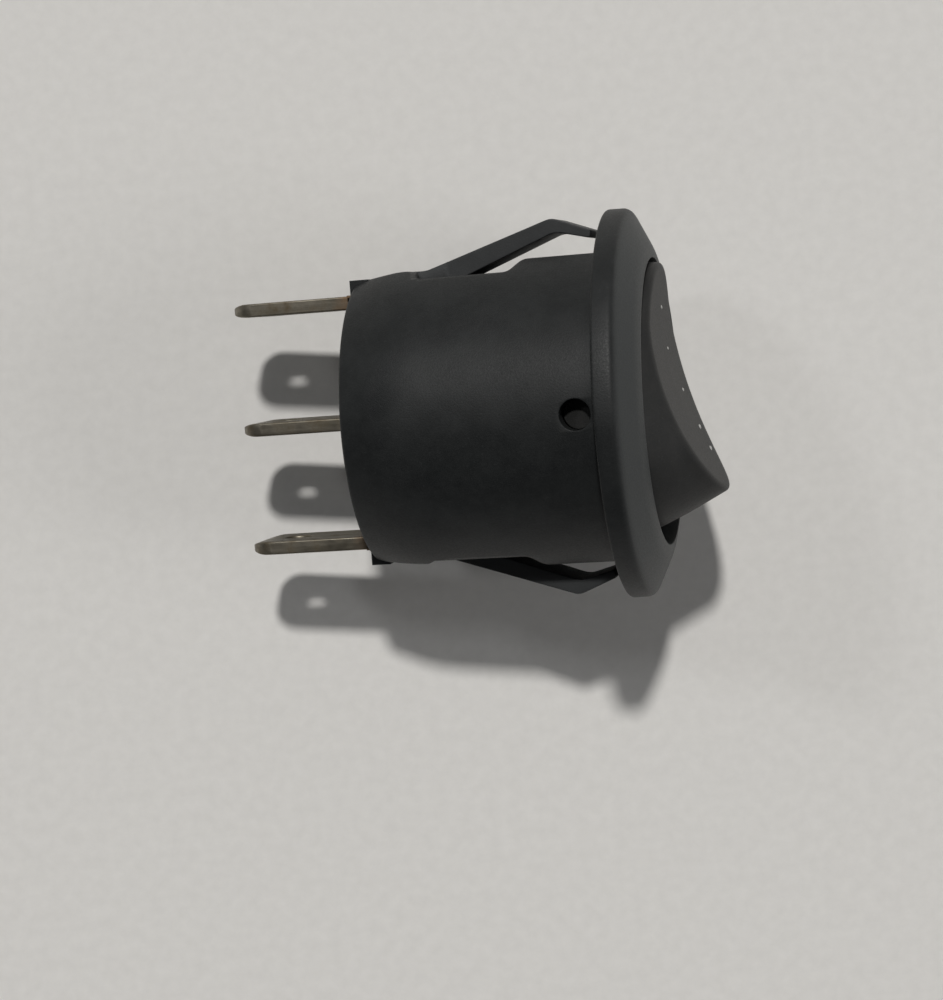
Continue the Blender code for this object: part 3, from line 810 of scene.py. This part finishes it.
def build_terminal(name, y):
    """A stamped tab: rolled edges, a thinned tip, a hole, and the part inside the barrel."""
    node = "terminal_" + name
    half = TAB_HALF_THICKNESS
    blade = add_object("tab_" + name, prism("blade", blade_outline(), y - half, y + half, axis="Y"))
    hole_x = SEAT_X + TAB_TIP_X + TAB_HOLE_REACH
    hole = cylinder("hole", TAB_HOLE_RADIUS, (hole_x, y - 1 * MM, 0), (hole_x, y + 1 * MM, 0), 64)
    combine(blade, [hole], "DIFFERENCE")
    soften(blade, 0.1 * MM, 3, 50)
    slice_along_x(blade, [SEAT_X + TAB_TIP_X + reach * MM for reach in TAB_TAPER_ROWS])
    for vertex in blade.data.vertices:
        reach = (vertex.co.x - SEAT_X - TAB_TIP_X) / TAB_TAPER_LENGTH
        keep = 0.5 + 0.5 * math.sin(math.pi / 2 * min(1.0, max(0.0, reach)))
        vertex.co.y = y + (vertex.co.y - y) * keep
    join_root(blade, node)
    paint(blade, DULL_TIN)
    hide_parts(node)
    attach(blade, "housing")


def join_root(blade, node):
    """Adds the CAD terminal's part ahead of the shoulder, with its edges rounded."""
    root = add_object("root", NODES[node].data.copy())
    bm = bmesh.new()
    bm.from_mesh(root.data)
    bmesh.ops.remove_doubles(bm, verts=bm.verts, dist=1e-6)
    shoulder = (SEAT_X + TAB_SHOULDER_X, 0, 0)
    geometry = list(bm.verts) + list(bm.edges) + list(bm.faces)
    bmesh.ops.bisect_plane(bm, geom=geometry, plane_co=shoulder, plane_no=(1, 0, 0), clear_inner=True)
    rim = [edge for edge in bm.edges if edge.is_boundary]
    bmesh.ops.contextual_create(bm, geom=rim)
    bm.to_mesh(root.data)
    bm.free()
    soften(root, 0.06 * MM, 2, 50)
    bm = bmesh.new()
    bm.from_mesh(blade.data)
    bm.from_mesh(root.data)
    bm.to_mesh(blade.data)
    bm.free()
    bpy.data.objects.remove(root, do_unlink=True)


def finish_cad(node, material, width):
    """Keeps a CAD node's shape and gives it rounded edges and a material."""
    obj = NODES[node]
    weld = obj.modifiers.new("weld", "WELD")
    weld.merge_threshold = 1e-6
    dissolve = obj.modifiers.new("dissolve", "DECIMATE")
    dissolve.decimate_type = "DISSOLVE"
    dissolve.angle_limit = math.radians(0.5)
    bevel = obj.modifiers.new("round_edges", "BEVEL")
    bevel.width = width
    bevel.segments = 2
    bevel.limit_method = "ANGLE"
    bevel.angle_limit = math.radians(35)
    obj.data.materials.clear()
    obj.data.materials.append(material)


def build_spring():
    """The coil in fine round wire, with its end turns closed up."""
    per_turn, sides = 40, 12
    wire, radius = SPRING_WIRE_RADIUS, SPRING_RADIUS
    length = SPRING_HIGH - SPRING_LOW
    climb = length / SPRING_TURNS / (2 * math.pi * radius)
    count = SPRING_TURNS * per_turn
    rings = []
    for i in range(count + 1):
        t = i / count
        angle = 2 * math.pi * SPRING_TURNS * t
        eased = t + 0.035 * math.sin(2 * math.pi * t)
        c, s = math.cos(angle), math.sin(angle)
        centre = Vector((SPRING_LOW + length * eased, radius * c, radius * s))
        along = Vector((climb, -s, c)).normalized()
        out = Vector((0, c, s))
        across = along.cross(out)
        ring = []
        for k in range(sides):
            around = 2 * math.pi * k / sides
            ring.append(centre + out * wire * math.cos(around) + across * wire * math.sin(around))
        rings.append(ring)
    spring = add_object("coil_spring", ring_loft("coil_spring", rings))
    spring.data.transform(rocker_place())
    spring.data.shade_smooth()
    spring.data.set_sharp_from_angle(angle=math.radians(50))
    paint(spring, STEEL)
    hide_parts("plunger_spring")
    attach(spring, "rocker")
    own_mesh(spring)


def build_pieces():
    build_housing()
    build_snap_arms()
    build_rocker()
    build_pips()
    for name in ("upper", "common", "lower"):
        face = MOUNTS["tab_" + name]
        build_terminal(name, face["pos_m"][1] - face["axis"][1] * TAB_HALF_THICKNESS)
    build_spring()
    finish_cad("rear_cover", HOUSING_NYLON, 0.08 * MM)
    finish_cad("plunger", ACETAL, 0.05 * MM)
    finish_cad("moving_contact", COPPER, 0.05 * MM)
    for name in SIDES:
        finish_cad("moving_rivet_" + name, SILVER, 0.04 * MM)
        finish_cad("fixed_rivet_" + name, SILVER, 0.04 * MM)


# Setting


def build_floor():
    """Plain pale paper, tilted to run just under the bezel's rim and the barrel's rear edge."""
    drop = HOUSING_HIGH.z - BARREL_REAR_RADIUS
    slope = math.atan2(drop, BARREL_LENGTH)
    bm = bmesh.new()
    bmesh.ops.create_grid(bm, x_segments=2, y_segments=2, size=FLOOR_HALF_SIZE)
    floor = add_object("paper_floor", mesh_from("paper_floor", bm))
    contact = Vector((SEAT_X, 0, HOUSING_LOW.z - FLOOR_GAP))
    floor.matrix_world = Matrix.Translation(contact) @ Matrix.Rotation(slope, 4, "Y")
    nodes = Nodes("plain_paper")
    fibres = nodes.noise(1.2, detail=6.0)
    colour = nodes.mix(nodes.remap(fibres, 0.3, 0.7), (0.70, 0.688, 0.665), (0.745, 0.733, 0.71))
    nodes.bump(fibres, 0.03 * MM, 0.25)
    paint(floor, nodes.finish(colour, nodes.remap(fibres, 0.3, 0.7, 0.62, 0.72)))


def add_light(name, direction, width_deg, strength, colour):
    """A distant lamp of the given apparent width, so that its light is even over the whole floor."""
    lamp = bpy.data.lights.new(name, "SUN")
    lamp.angle = math.radians(width_deg)
    lamp.energy = strength
    lamp.color = colour
    obj = bpy.data.objects.new(name, lamp)
    bpy.context.scene.collection.objects.link(obj)
    towards = Vector(direction).normalized()
    obj.location = towards
    obj.rotation_euler = towards.to_track_quat("Z", "Y").to_euler()


def build_lights():
    add_light("ceiling_top", (0.15, 0.52, 0.83), 4.0, 2.1, (1.0, 0.985, 0.96))
    add_light("ceiling_right", (0.52, 0.02, 0.85), 5.0, 0.05, (1.0, 0.99, 0.97))
    add_light("window_right", (0.92, -0.10, 0.36), 20.0, 0.42, (1.0, 0.99, 0.98))
    add_light("ceiling_left", (-0.42, 0.46, 0.78), 8.0, 0.24, (0.96, 0.98, 1.0))
    world = bpy.data.worlds.new("soft_room")
    world.use_nodes = True
    tree = world.node_tree
    background = tree.nodes["Background"]
    background.inputs["Color"].default_value = (0.98, 0.985, 1.0, 1.0)
    direction = tree.nodes.new("ShaderNodeTexCoord")
    split = tree.nodes.new("ShaderNodeSeparateXYZ")
    fade = tree.nodes.new("ShaderNodeMapRange")
    fade.interpolation_type = "SMOOTHSTEP"
    fade.inputs["From Min"].default_value = 0.0
    fade.inputs["From Max"].default_value = LIGHT_FADE_END
    fade.inputs["To Min"].default_value = HORIZON_LIGHT
    fade.inputs["To Max"].default_value = OVERHEAD_LIGHT
    tree.links.new(direction.outputs["Generated"], split.inputs["Vector"])
    tree.links.new(split.outputs["Z"], fade.inputs["Value"])
    tree.links.new(fade.outputs["Result"], background.inputs["Strength"])
    bpy.context.scene.world = world


def build_camera():
    """Nearly straight down on the barrel, a little from the rocker's side."""
    place = Vector((28.35, 5.86, 135.44)) * MM
    back = Vector((0.2116, 0.0794, 0.9741)).normalized()
    up = Vector((0.0582, 0.9939, -0.0936))
    up = (up - back * up.dot(back)).normalized()
    right = up.cross(back)
    camera = bpy.data.cameras.new("camera")
    camera.lens = 82.8
    camera.sensor_width = 36
    camera.clip_start = 5 * MM
    camera.clip_end = 20
    obj = bpy.data.objects.new("camera", camera)
    bpy.context.scene.collection.objects.link(obj)
    turn = Matrix((right, up, back)).transposed()
    obj.matrix_world = Matrix.Translation(place) @ turn.to_4x4()
    bpy.context.scene.camera = obj
    bpy.context.scene.view_settings.view_transform = "Standard"


build_pieces()
build_floor()
build_lights()
build_camera()
